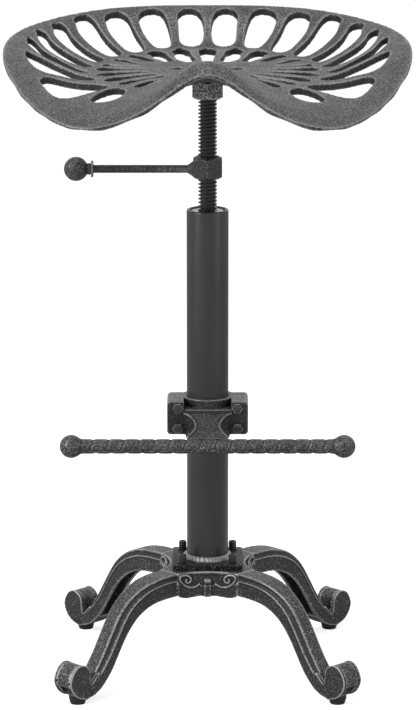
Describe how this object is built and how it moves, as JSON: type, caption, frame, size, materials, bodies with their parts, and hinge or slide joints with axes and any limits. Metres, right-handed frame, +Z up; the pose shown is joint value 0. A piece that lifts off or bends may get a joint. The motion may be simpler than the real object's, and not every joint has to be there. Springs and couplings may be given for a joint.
{
  "type": "tractor seat stool",
  "caption": "Pierced cast tractor seat on a screw spindle in a tube column with a clamped footrest bar and a four-legged cast base.",
  "frame": {"origin": "on the column's axis at floor level", "axes": "+Z up the column, -Y towards the front of the seat and the footrest bar, -X towards the lock lever"},
  "size_m": [0.433, 0.3631, 0.7041],
  "materials": {
    "black_steel": "blackened steel, semi-matt",
    "bright_steel": "plain machined steel",
    "cast_iron_worn": "dark charcoal sand-cast finish, rubbed silver on edges",
    "nylon": "natural nylon",
    "rubber": "matt black rubber",
    "tube_satin": "smooth satin charcoal paint",
    "weld_metal": "rubbed weld bead"
  },
  "bodies": {
    "column": {"leg_rear_right": "cast_iron_worn", "rubber_foot_rear_right": "rubber", "leg_rear_left": "cast_iron_worn", "rubber_foot_rear_left": "rubber", "leg_front_left": "cast_iron_worn", "rubber_foot_front_left": "rubber", "leg_front_right": "cast_iron_worn", "rubber_foot_front_right": "rubber", "foot_screws": "bright_steel", "base_hub": "cast_iron_worn", "leg_bolts": "black_steel", "leg_nuts": "black_steel", "column_plate": "cast_iron_worn", "column_screws": "black_steel", "column_washers": "black_steel", "weld_bead": "weld_metal", "column_tube": "tube_satin", "spindle_bush": "bright_steel"},
    "spindle_guide": {"spindle_guide": "nylon"},
    "seat": {"spindle": "black_steel", "spindle_end_washer": "bright_steel", "spindle_end_screw": "black_steel", "seat_nut": "cast_iron_worn", "seat_pan": "cast_iron_worn", "seat_washer": "bright_steel", "seat_screw": "black_steel"},
    "lock_lever": {"lock_nut": "cast_iron_worn", "lever_rod": "cast_iron_worn", "lever_knob": "cast_iron_worn"},
    "footrest": {"clamp_front": "cast_iron_worn", "clamp_rear": "cast_iron_worn", "clamp_bolts": "black_steel", "clamp_nuts": "black_steel", "footrest_bar": "cast_iron_worn", "footrest_ball_left": "cast_iron_worn", "footrest_ball_right": "cast_iron_worn"}
  },
  "joints": [
    {"name": "seat_lift", "type": "slide", "parent": "column", "child": "spindle_guide", "axis": [0, 0, 1], "range_m": [-0.0602, 0.0882]},
    {"name": "seat_turn", "type": "hinge", "parent": "spindle_guide", "child": "seat", "pos_m": [0, 0, 0.5], "axis": [0, 0, 1], "range_deg": [-5400, 7920]},
    {"name": "lock_turn", "type": "hinge", "parent": "column", "child": "lock_lever", "pos_m": [0, 0, 0.55], "axis": [0, 0, 1], "range_deg": [-180, 180]},
    {"name": "footrest_slide", "type": "slide", "parent": "column", "child": "footrest", "axis": [0, 0, 1], "range_m": [-0.11, 0.2]}
  ],
  "couplings": [
    {"joint": "seat_lift", "follows": "seat_turn", "m_per_rad": 0.00063662}
  ]
}
